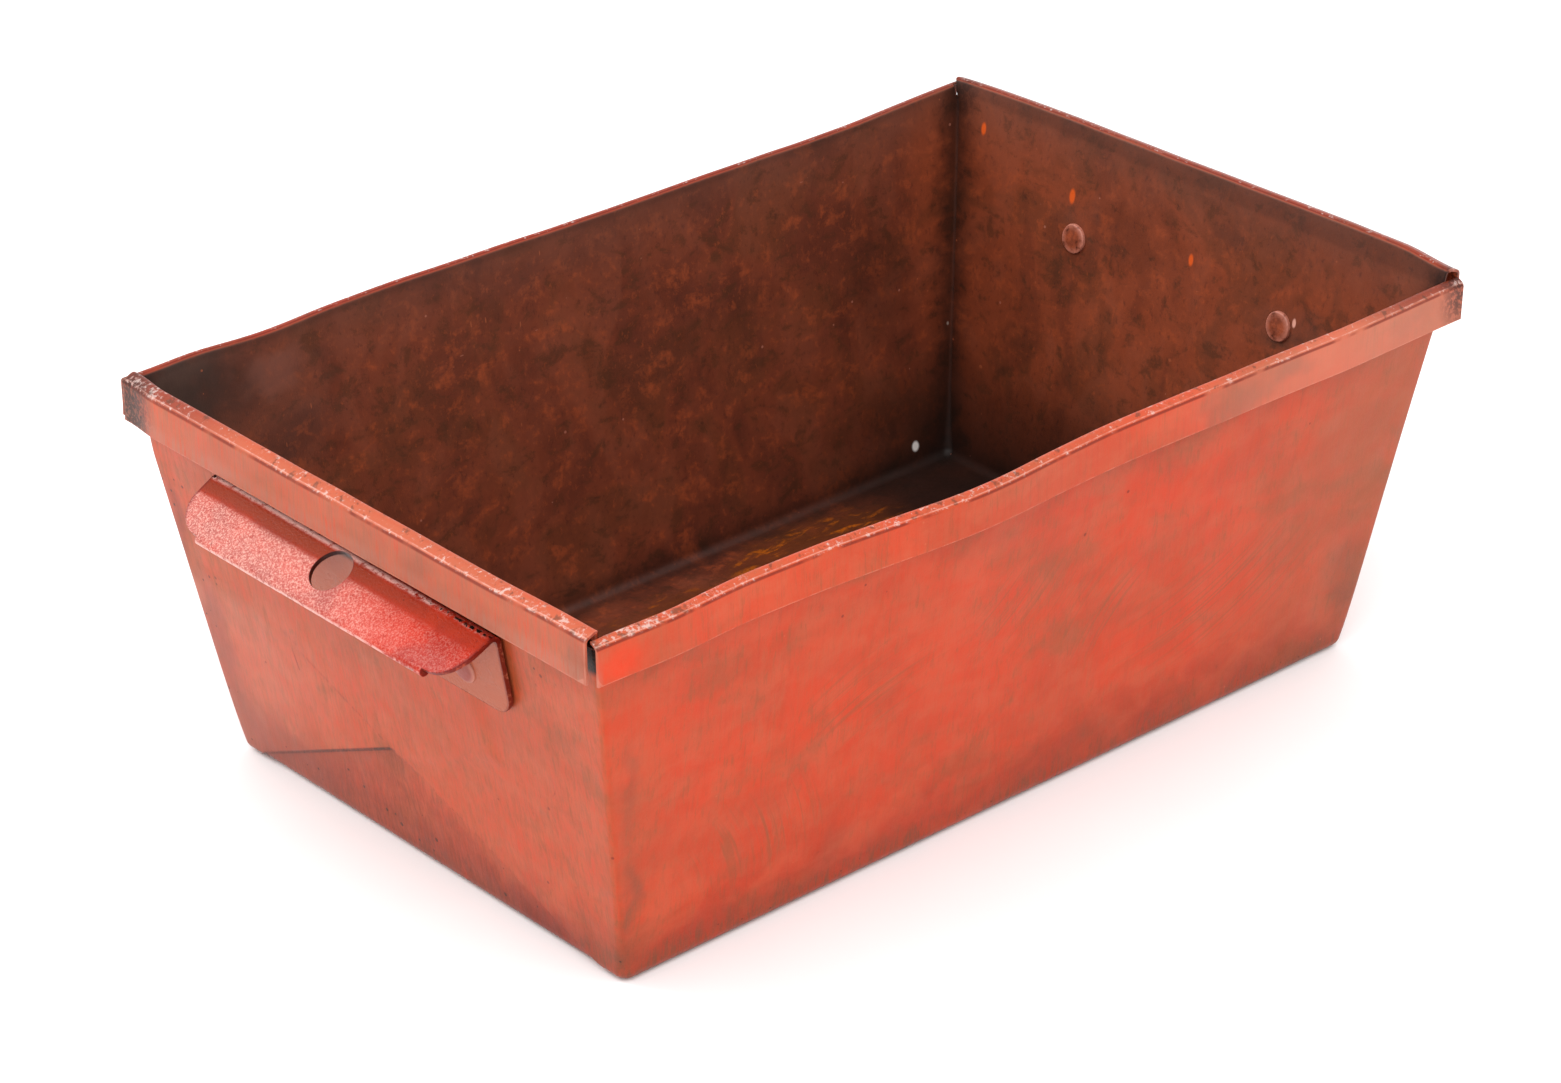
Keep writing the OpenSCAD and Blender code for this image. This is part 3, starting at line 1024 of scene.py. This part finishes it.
def outside_colour(p):
    """Sun-faded orange-red enamel with wiping marks, streaks, smudges and worn rims, and some painted sheen
    and shade.
    """
    broad = p.noise((38, 38, 26), 3, 0.55, 0.5)
    patch = p.noise((13, 13, 9), 3, 0.6, 0.4, 7)
    cloud = p.noise((26, 26, 17), 5, 0.62, 0.3, 15)
    streak = p.noise((1.5, 1.5, 38), 3, 0.6, 0, 3)
    brush = p.noise((1.1, 1.1, 12), 4, 0.7, 0.6, 27)
    grain = p.noise((0.5, 0.5, 0.6), 2, 0.6)
    on_side = p.rise(p.faces_end, 0.6, 0)
    p.colour = p.mix(p.rise(broad, 0.38, 0.62), ORANGE_RED, BRICK)
    # Paler in patches, at the top and towards the right; the end faces paler still, partly a painted sheen
    fade_and_sheen = p.rise(patch, 0.35, 0.7) * 0.3 + p.rise(p.faces_end, 0, 1, 0.08, 0.36)
    fade_and_sheen = fade_and_sheen + p.rise(p.z, 96, 112, 0, 0.12) + p.rise(p.x, 60, 150, 0, 0.22)
    p.over(SALMON, fade_and_sheen)
    p.over(DUSTY, p.rise(streak, 0.45, 0.75, 0, 0.16))
    p.over(DEEP_RED, p.rise(streak, 0.48, 0.25, 0, 0.12))
    p.over(OLIVE, p.faces_end * p.rise(brush, 0.35, 0.65, 0.1, 0.4))
    # Thin olive grime, wiped about, over the whole outside
    p.over(OLIVE, p.rise(cloud, 0.5, 0.7, 0, 0.4))
    p.over(OLIVE, p.rise(brush, 0.5, 0.66) * p.rise(cloud, 0.4, 0.6, 0.3, 1) * 0.5)
    p.over(ORANGE_RED, p.rise(brush, 0.48, 0.32) * p.rise(cloud, 0.6, 0.4) * 0.4)
    # Wiping marks on the long sides
    for centre, reach, place, spacing in (
        ((-62, 128), (34, 60, 26), (-2, -94, 72), 0.9),
        ((-20, -30), (32, 60, 22), (-58, -92, 62), 1.0),
        ((70, 20), (26, 60, 26), (28, -92, 56), 1.1),
        ((-150, 10), (40, 60, 20), (-92, -92, 30), 1.2),
        ((30, 140), (60, 60, 30), (80, -92, 40), 1.2),
        ((60, 128), (44, 60, 26), (0, 94, 70), 1.0),
        ((-80, -20), (50, 60, 30), (-60, 94, 46), 1.1),
    ):
        marks = p.swirl(centre, spacing)
        here = p.spot(place, reach, 0.9) * p.rise(p.faces_end, 0.3, 0)
        p.over(OLIVE, here * p.rise(marks, 0.5, 0.66, 0, 0.55))
        p.over(ORANGE_RED, here * p.rise(marks, 0.46, 0.33, 0, 0.5))
    # Handling dirt on the right and left of the long sides; every wall darker towards its foot
    haze = p.rise(p.x, 60, 150, 0, 0.5) + p.rise(p.x, -118, -140, 0, 0.16)
    haze = haze * on_side * p.rise(broad, 0.3, 0.6, 0.6, 1)
    p.over(OLIVE, haze)
    low = p.z + (patch - 0.5) * 22
    p.over(DEEP_RED, p.rise(low, 26, 2, 0, 0.4))
    p.over(BROWN_GREY, p.rise(low, 11, 0, 0, 0.6) * p.rise(brush, 0.38, 0.6))
    # The end walls below their flaps' lower edges, darker with grime and painted shade, and a painted shadow
    # line along each edge
    rear = p.z + p.calc("MULTIPLY_ADD", p.y, math.tan(REAR_RISE), -FLAP_FOOT * math.tan(REAR_RISE))
    front = p.z + p.calc("MULTIPLY_ADD", p.y, -math.tan(FRONT_RISE), -FLAP_FOOT * math.tan(FRONT_RISE))
    on_end = p.rise(p.faces_end, 0.7, 0.9) * p.rise(p.z, 62, 50)
    # Darker where no flap covers the end: grime and painted shade
    bare = p.rise(p.greater(rear, front), 1, -9) * on_end
    p.over(DEEP_RED, bare * p.rise(brush, 0.3, 0.6, 0.12, 0.4))
    # Painted shadow just under the rear flap's edge
    shade = p.rise(rear, -10, -1) * p.rise(rear, 0.4, 0) * p.rise(front, 2, -4) * on_end
    p.over(DEEP_RED, shade * 0.35)
    # Painted shadow lines along the rear and the front flap's lower edges
    edge = p.rise(abs(rear + 0.6), 0.9, 0.3) * p.rise(front, 1, -1) * on_end
    p.over(SOOT, edge * p.rise(brush, 0.3, 0.6, 0.45, 0.85))
    edge = p.rise(abs(front + 0.6), 1.2, 0.3) * on_end * p.rise(p.y, -62, -20)
    p.over(DEEP_RED, edge * p.rise(brush, 0.4, 0.6, 0.05, 0.35))
    p.smudges(0.85, (
        ((-136, -90, 30), (5, 10, 20), 0.5, BROWN_GREY),
        ((-137, -92, 12), (6, 10, 16), 0.5, BROWN_GREY),
        ((-139, -95, 62), (4, 10, 32), 0.3, BROWN_GREY),
        ((-134, 74, 14), (12, 22, 24), 0.6, DEEP_RED),
        ((-140, 84, 40), (9, 13, 34), 0.6, DEEP_RED),
        ((-146, 92, 76), (9, 8, 30), 0.5, DEEP_RED),
        ((-136, 50, 8), (9, 24, 12), 0.4, DEEP_RED),
        ((-136, -50, 4), (9, 30, 12), 0.6, DEEP_RED),
        ((67, -104, 108), (24, 6, 9), 0.5, BROWN_GREY),
        ((88, -104, 112), (16, 5, 5), 0.45, BROWN_GREY),
        ((140, -104, 109), (20, 6, 9), 0.5, BROWN_GREY),
        ((-157, 96, 108), (8, 12, 12), 0.7, SOOT),
        ((-158, -8, 108), (6, 14, 8), 0.3, BROWN_GREY),
        ((-158, -34, 108), (6, 16, 8), 0.35, BROWN_GREY),
        ((-158, -62, 106), (6, 20, 7), 0.35, BROWN_GREY),
        ((-158, -97, 108), (8, 8, 10), 0.5, BROWN_GREY),
        ((-60, -92, 12), (40, 8, 12), 0.4, BROWN_GREY),
        ((30, -92, 10), (36, 8, 13), 0.4, BROWN_GREY),
        ((132, -90, 20), (20, 8, 34), 0.45, BROWN_GREY),
        ((136, 88, 30), (9, 18, 30), 0.45, BROWN_GREY),
    ))
    p.over(rgb(226, 56, 12), p.spot((-148, -103, 108), (14, 7, 9), 0.9) * 0.7)
    # The left end is paler with dust and a painted sheen, its skirt the most; the near skirt is paler so
    # towards the right
    dust_and_sheen = p.rise(p.x, -153.5, -156) * p.rise(p.z, 102, 104) * p.rise(brush, 0.3, 0.6, 0.1, 0.5)
    p.over(rgb(172, 116, 98), dust_and_sheen * p.rise(p.z, 110, 106, 0.4, 1))
    p.over(rgb(226, 160, 142), on_end * p.rise(p.y, 10, 80) * 0.15)
    dust_and_sheen = p.rise(p.y, -101, -103.5) * p.rise(p.x, 20, 110, 0, 0.3)
    p.over(rgb(230, 150, 126), dust_and_sheen)
    # Painted shade in the crevice behind the skirts
    out = p.greater(p.across * -1, p.along * -1)
    crevice = p.rise(out, 2.5, 1.6) * p.rise(p.z, 102.5, 105.5) * p.rise(p.z, PAN_H - 1.6, PAN_H - 2.6)
    p.over(rgb(22, 18, 17), crevice * p.rise(p.y, 92, 84))
    # Specks and small scratches
    dark = p.specks(8, 0.75, 0.28)
    near_foot = p.specks(3.2, 0.75, 0.5, 4) * p.rise(low + p.faces_end * -14, 14, 2)
    on_end_edge = p.specks(3.4, 0.7, 0.4, 6) * p.rise(p.faces_end, 0.5, 0.9) * p.rise(p.y, 62, 88)
    by_grip = p.specks(2.6, 0.8, 0.5, 8) * p.spot((-152, -72, 96), (8, 13, 9), 0.8)
    p.over(DEEP_RED, dark * 0.7)
    p.over(SOOT, p.greater(near_foot, p.greater(on_end_edge, by_grip)) * 0.8)
    p.over(SALMON, p.specks(5, 0.4, 0.3, 9) * 0.5)
    for start, end, width, strength, tint in (
        ((-144.9, -72.0, 62), (-144.2, -69.5, 55), 0.5, 0.7, DEEP_RED),
        ((-144.2, -69.5, 55), (-143.2, -65.6, 50.5), 0.5, 0.7, DEEP_RED),
        ((-158, 2, 107), (-158, 6, 101), 0.4, 0.6, DEEP_RED),
        ((-158, 5, 107), (-158, 1, 102), 0.35, 0.5, DEEP_RED),
        ((-144, 47, 58), (-143, 44, 44), 0.45, 0.6, DEEP_RED),
        ((-145.5, 42, 68), (-143.6, 41.6, 54), 0.35, 0.45, SALMON),
    ):
        p.over(tint, p.stroke(start, end, width) * strength)
    p.over(SALMON, p.rise(grain, 0.35, 0.7, 0, 0.1))
    return p.colour, streak, grain


def lay_rim_colour(p):
    """Worn rims: speckled rubbed top, a fine bright crease line (a painted highlight, chipped), and a darker
    line under it.
    """
    chips = p.noise((1.3, 1.3, 1.3), 3, 0.7, 0.3, 5)
    length = p.noise((16, 16, 40), 3, 0.6, 0, 11)
    dashes = p.noise((4, 4, 9), 4, 0.7, 0, 23)
    top = p.rise(p.wear, 0.3, 0.6)
    p.over(SALMON, p.rise(p.wear, 0.45, 0.7) * p.rise(p.x, -120, -155, 0.25, 0.6))
    under = p.rise(p.wear, 0.12, 0.3) * p.rise(p.wear, 0.6, 0.45)
    p.over(DEEP_RED, under * p.rise(length, 0.35, 0.5) * 0.75)
    # Rubbed and battered stretches, thick with pale and sooty chips
    worn = p.rise(length, 0.45, 0.75, 0, 0.3)
    for place, reach, strength in (
        ((-140, -103, 114), (40, 9, 10), 0.75),
        ((-50, -105, 114), (70, 9, 10), 0.3),
        ((-158, -80, 114), (9, 52, 10), 0.6),
        ((-158, 10, 114), (9, 44, 10), 0.45),
        ((-156, 92, 114), (9, 26, 10), 0.85),
        ((0, 103, 115), (120, 9, 8), 0.35),
        ((150, -60, 114), (14, 70, 10), 0.5),
        ((152, 60, 114), (14, 50, 10), 0.3),
    ):
        worn = worn + p.spot(place, reach, 0.95) * strength
    pale = chips + worn * 0.2 + (dashes - 0.5) * 0.8
    # The far rims, and the right end's, are a darker red on top
    far = p.greater(p.rise(p.y, 40, 80), p.rise(p.x, 110, 140))
    crest = p.faces_up * p.rise(p.z, 104, 110) * p.rise(p.inside, 0.9, 0.3)
    p.over(DEEP_RED, far * crest * 0.65)
    p.over(SCUFF, top * p.rise(pale, 0.6, 0.8) * 0.65)
    sooty = p.noise((2.6, 2.6, 2.6), 3, 0.6, 0.3, 21) + worn * 0.1 + (dashes - 0.5) * -0.5
    p.over(p.mix(0.5, SOOT, BROWN_GREY), top * p.rise(sooty, 0.6, 0.72) * 0.6)
    # Painted highlight along the crease, broken into dashes by worn paint
    line = p.rise(p.wear, 0.8, 0.98) * p.rise(dashes + worn * 0.15, 0.4, 0.6, 0.25, 1)
    p.over(rgb(232, 176, 160), line * 0.45)
    # Three corners of the rim are nearly black with soot
    for place, reach in (
        ((-157, 97, 110), (12, 15, 18)),
        ((157, 97, 112), (8, 12, 12)),
        ((159, -101, 112), (13, 8, 14)),
    ):
        sooted = p.spot(place, reach, 0.7, False) * p.rise(chips, 0.62, 0.45, 0.3, 1)
        p.over(SOOT, sooted * 0.8)
    # The skirts' sheared lower edges catch the light
    sheared = p.rise(p.free, 0.75, 0.95) * p.rise(p.z, 90, 95) * p.rise(p.inside, 0.2, 0)
    p.over(rgb(220, 140, 118), sheared * p.rise(dashes, 0.4, 0.6, 0.05, 0.35))


def inside_colour(p):
    """Grimy maroon: mottled, sooty near the rims and corners, with rust on the floor and fine marks."""
    broad = p.noise((34, 34, 30), 4, 0.6, 0.6, 31)
    patch = p.noise((9, 9, 7), 5, 0.68, 0.3, 37)
    fine = p.noise((1.8, 1.8, 2.6), 4, 0.7, 0, 41)
    smear = p.noise((22, 22, 42), 3, 0.5, 0.8, 43)
    p.colour = p.mix(p.rise(broad, 0.35, 0.65), MAROON, p.mix(0.5, MAROON, MAROON_DARK))
    p.over(MAROON_LIGHT, p.rise(p.x, 122, 138, 0, 0.4))
    p.over(UMBER, p.rise(broad, 0.5, 0.38, 0, 0.45))
    p.over(rgb(150, 82, 60), p.rise(smear, 0.5, 0.62, 0, 0.2))
    p.over(MAROON_DARK, p.rise(smear, 0.47, 0.36, 0, 0.3))
    p.over(UMBER, p.rise(patch, 0.48, 0.34, 0, 0.6))
    p.over(MAROON_LIGHT, p.rise(patch, 0.52, 0.66) * p.rise(fine, 0.35, 0.6, 0.3, 1) * 0.6)
    p.over(MAROON_LIGHT, p.rise(fine, 0.56, 0.74, 0, 0.5))
    p.over(MAROON_DARK, p.rise(fine, 0.45, 0.28, 0, 0.45))
    grey = p.rise(p.z + (patch - 0.5) * 26, 94, 124, 0, 0.5) + p.spot((-140, 98, 104), (30, 10, 24), 0.95)
    p.over(GREY_MAROON, grey)
    # Soot lies in the corners, along the folds and under the rims; the bend at the floor's edge gets painted
    # shade
    crevice = p.greater(p.across, p.along)
    ragged = (patch - 0.5) * 14
    p.over(SOOT, p.rise(crevice + ragged, 12, 0, 0, 0.7))
    p.over(SOOT, p.rise(p.greater(p.z, p.across) + ragged, 12, 0) * 0.5)
    p.over(SOOT, p.rise(p.greater(p.z, p.along) + ragged, 22, 2) * 0.6)
    p.over(SOOT, p.rise(p.z + (fine - 0.5) * 3, PAN_H - 3.5, PAN_H - 1.5, 0, 0.25))
    deep = p.rise(p.x, 30, 130) + p.rise(p.y, 70, -40, 0, 0.4) + p.rise(p.z, 15, 60, 0, -1.3)
    p.over(SOOT, p.rise(deep + (patch - 0.5) * 1.2, 0.1, 1.3) * 0.7)
    # Painted shade in the bend where the floor meets the walls
    fold = p.rise(p.greater(p.z, p.calc("MINIMUM", p.across, p.along)), 7, 3)
    p.over(SOOT, fold * 0.25)
    p.smudges(0.7, (
        ((60, 97, 66), (22, 9, 20), 0.5, UMBER),
        ((112, 94, 60), (22, 9, 42), 0.35, SOOT),
        ((110, 60, 2), (34, 40, 16), 0.75, SOOT),
        ((-128, 98, 104), (24, 8, 14), 0.4, SOOT),
        ((-110, 96, 90), (30, 8, 26), 0.35, GREY_MAROON),
        ((-109, 98, 103), (16, 6, 9), 0.3, rgb(150, 96, 82)),
        ((148, 20, 92), (8, 26, 16), 0.3, SOOT),
        ((146, -50, 84), (8, 20, 12), 0.3, GREY_MAROON),
        ((146, 40, 94), (8, 16, 14), 0.35, GREY_MAROON),
    ))
    # Rust streaks run along the floor by the far wall
    on_floor = p.faces_up * p.rise(p.z, 9, 4)
    streaks = p.noise((11, 3.4, 9), 4, 0.65, 0.6, 51)
    rusty = p.greater(p.spot((62, 66, 2), (44, 15, 30)), p.spot((15, 56, 2), (50, 18, 30)))
    rusty = rusty * on_floor
    p.over(RUST_DARK, rusty * 0.55)
    p.over(RUST, rusty * p.rise(streaks, 0.52, 0.66) * p.rise(fine, 0.35, 0.6, 0.3, 1))
    # Fine marks
    p.over(rgb(190, 120, 100), p.specks(7, 0.55, 0.6, 13) * 0.5)
    p.over(rgb(196, 104, 70), p.specks(4, 0.5, 0.35, 29) * p.rise(broad, 0.45, 0.6) * 0.45)
    p.over(rgb(180, 96, 62), p.specks(9, 0.55, 0.4, 17, (0.5, 2.2, 2.2)) * 0.5)
    p.over(rgb(186, 116, 96), p.specks(11, 0.5, 0.4, 19, (2.4, 1, 0.7)) * 0.4)
    for place, size, tint in (
        ((122, 84.4, 7.4), 1.1, rgb(250, 245, 240)),
        ((146, -63, 47.5), 0.7, SCUFF),
        ((140, 89, 42.5), 0.5, rgb(150, 130, 120)),
        ((151.5, 86, 105.5), 1.3, CHIP),
        ((151, 46, 96), 1.5, CHIP),
        ((150.5, -5, 92), 1.2, CHIP),
        ((149.5, -48, 86.5), 0.9, rgb(236, 170, 150)),
    ):
        p.over(tint, p.spot(place, (size * 1.6, size, size * 2), 0.5, False))
    return p.colour, patch, fine


def make_pan_paint():
    p = Paint("pan_paint")
    outer, streak, grain = outside_colour(p)
    inner, patch, fine = inside_colour(p)
    p.colour = p.mix(p.inside, outer, inner)
    lay_rim_colour(p)
    roughness = p.rise(p.inside, 0, 1, 0.4, 0.52) + (streak - 0.5) * 0.25
    height = grain * 0.35 + streak * 0.1 + p.inside * patch * 0.8 + p.inside * fine * 0.5
    dents = p.bump(p.noise((24, 24, 24), 2, 0.5, 0, 61), 0.9)
    return p.finish(roughness, p.bump(height, 0.09, dents), 0.22)


def make_handle_paint():
    """Glossy crimson with orange peel; its third attribute colour, p.shade_stripe, is painted shade below the
    ridge.
    """
    p = Paint("handle_paint")
    peel = p.noise((0.8, 0.8, 0.8), 2, 0.6)
    glint = p.noise((0.45, 0.45, 0.45), 2, 0.7, 0, 13)
    patch = p.noise((16, 16, 9), 3, 0.6, 0.4, 3)
    chips = p.noise((1.6, 1.6, 1.6), 4, 0.7, 0, 9)
    strip = p.rise(p.inside, 0.6, 0.1)
    left = p.rise(p.y + (patch - 0.5) * 50, -45, 20)
    p.colour = p.mix(p.rise(patch, 0.35, 0.65), CRIMSON, CRIMSON_RED)
    p.over(CRIMSON_RED, p.rise(p.y, 40, -50, 0, 0.35))
    # Painted shade: a dark stripe below the ridge
    p.over(rgb(136, 50, 22), p.shade_stripe * p.rise(p.y, -60, 10, 0.45, 0.95))
    # Painted sheen: pale pink towards the left of the grip, partly faded paint, then painted glints of the
    # orange peel
    away = p.rise(p.shade_stripe, 0.75, 0.15)
    p.over(rgb(208, 136, 126), left * away * strip * 0.4)
    shine = p.rise(glint + (peel - 0.5) * 0.5, 0.44, 0.66) * away * strip
    p.over(CRIMSON_PALE, shine * p.rise(left, 0, 1, 0.28, 0.95))
    pits = p.rise(glint + (peel - 0.5) * 0.5, 0.4, 0.26)
    p.over(CRIMSON_DARK, pits * strip * 0.55)
    # The back leg carries the same dusty paint as the wall
    p.over(rgb(178, 100, 74), p.inside * 0.9)
    # Painted shade on the top of the back leg, under the ridge
    p.over(SOOT, p.inside * p.rise(p.z, 97, 99.2) * 0.9)
    # Painted highlight along the ridge and the hem's nose, broken by chips
    line = p.wear * strip * p.rise(chips + p.rise(p.y, -10, -50, 0, -0.12), 0.34, 0.5)
    p.over(rgb(246, 190, 178), p.rise(line, 0.1, 0.8) * 0.8)
    bare = p.wear * 0.3 + p.rise(p.y, -18, -52, 0, 0.22) + p.rise(p.y, 50, 59, 0, 0.16) + (chips - 0.5)
    p.over(SOOT, p.rise(bare, 0.44, 0.52) * strip * p.rise(p.wear, 0.02, 0.3))
    p.over(CRIMSON_DARK, p.free * p.rise(chips, 0.3, 0.5) * 0.85)
    # Painted shade on the walls of the hook holes
    for end in (-162, 162):
        hole = p.rise(p.free, 0.85, 0.97) * p.spot((end, 0, 97), (10, 9, 9), 0.2, False)
        p.over(SOOT, hole * 0.8)
    p.over(SOOT, p.specks(5, 0.6, 0.45, 4) * strip * 0.85)
    p.over(SOOT, p.spot((-169, 43, 91), (1.6, 2.4, 1.6), 0.5))
    height = peel + glint * 0.4
    roughness = p.rise(patch, 0.3, 0.7, 0.26, 0.36)
    return p.finish(roughness, p.bump(height, 0.13), 0.12, 0.03)


def make_rivet_paint():
    p = Paint("rivet_paint")
    patch = p.noise((2.6, 2.6, 2.6), 3, 0.6, 0, 5)
    p.colour = p.mix(p.inside, rgb(150, 62, 48), p.mix(p.rise(patch, 0.4, 0.65), MAROON, MAROON_LIGHT))
    # The head's rounded rim is paler: worn paint and a painted highlight
    p.over(rgb(196, 122, 102), p.wear * p.rise(patch, 0.25, 0.5) * 0.9)
    p.over(SOOT, p.rise(patch, 0.4, 0.28, 0, 0.6))
    height = p.noise((1.2, 1.2, 1.2), 3, 0.6)
    roughness = p.rise(patch, 0.3, 0.7, 0.34, 0.5)
    return p.finish(roughness, p.bump(height, 0.12), 0.5)


def make_floor_paint():
    p = Paint("floor_paint")
    patch = p.noise((60, 60, 60), 2)
    p.colour = p.mix(p.rise(patch, 0.3, 0.7), (0.93, 0.93, 0.93, 1), (0.94, 0.94, 0.94, 1))
    return p.finish(p.rise(patch, 0.3, 0.7, 0.85, 0.9), p.bump(patch, 0.01), 0.1)


# ---- Camera, light and floor ----

CAMERA_AZIMUTH = math.radians(-40.792)
CAMERA_ELEVATION = math.radians(27.637)
CAMERA_ROLL = math.radians(-0.857)
CAMERA_DISTANCE = 1.4401
CAMERA_TARGET = Vector((0.01806, 0.02919, 0.0320))
LENS_PER_WIDTH = 3.1804
SENSOR = 36


def make_camera():
    az, el = CAMERA_AZIMUTH, CAMERA_ELEVATION
    back = Vector((math.sin(az) * math.cos(el), -math.cos(az) * math.cos(el), math.sin(el)))
    camera = bpy.data.cameras.new("camera")
    camera.sensor_width = SENSOR
    camera.lens = LENS_PER_WIDTH * SENSOR
    camera.clip_start = 0.01
    item = add_object("camera", camera)
    right = (-back).cross(Vector((0, 0, 1))).normalized()
    up = right.cross(-back)
    c, s = math.cos(CAMERA_ROLL), math.sin(CAMERA_ROLL)
    right, up = c * right + s * up, -s * right + c * up
    item.matrix_world = Matrix((
        (right.x, up.x, back.x, 0), (right.y, up.y, back.y, 0), (right.z, up.z, back.z, 0), (0, 0, 0, 1)
    ))
    item.location = CAMERA_TARGET + back * CAMERA_DISTANCE
    bpy.context.scene.camera = item


def area_light(name, place, target, size, power):
    lamp = bpy.data.lights.new(name, "AREA")
    lamp.shape = "RECTANGLE"
    lamp.size, lamp.size_y = size
    lamp.energy = power
    item = add_object(name, lamp)
    item.location = place
    item.rotation_euler = (Vector(target) - Vector(place)).to_track_quat("-Z", "Y").to_euler()


def make_light():
    world = bpy.data.worlds.new("studio")
    world.use_nodes = True
    world.node_tree.nodes["Background"].inputs["Color"].default_value = (1, 1, 1, 1)
    world.node_tree.nodes["Background"].inputs["Strength"].default_value = 1.15 * STUDIO
    bpy.context.scene.world = world
    area_light("key", (-0.5, -0.9, 1.3), (0, 0, 0.05), (0.9, 0.9), 6 * STUDIO)
    area_light("back", (-0.62, 0.62, 0.74), (-0.15, 0, 0.1), (0.34, 0.34), 2.6 * STUDIO)
    bpy.context.scene.view_settings.view_transform = "Standard"


def make_floor():
    mesh = bpy.data.meshes.new("floor")
    mesh.from_pydata([(-3, -3, 0), (3, -3, 0), (3, 3, 0), (-3, 3, 0)], [], [(0, 1, 2, 3)])
    piece = add_object("floor", mesh)
    piece.location.z = -0.0002
    piece.data.materials.append(make_floor_paint())


# ---- Putting it together ----

make_camera()
make_light()
make_floor()

pan_paint = make_pan_paint()
handle_paint = make_handle_paint()
rivet_paint = make_rivet_paint()

pan = make_pan()
pan.data.materials.append(pan_paint)
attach(pan, "root")
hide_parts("pan")
for word, sign in (("left", -1), ("right", 1)):
    grip = make_handle(word + "_grab_handle", sign)
    grip.data.materials.append(handle_paint)
    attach(grip, "root")
    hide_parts(word + "_handle")
    for place, side in (("front", -1), ("rear", 1)):
        rivet = make_rivet(f"{word}_{place}_set_rivet", sign, side, 2.3 * sign + 1.7 * side)
        rivet.data.materials.append(rivet_paint)
        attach(rivet, "root")
        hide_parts(f"{word}_{place}_rivet")
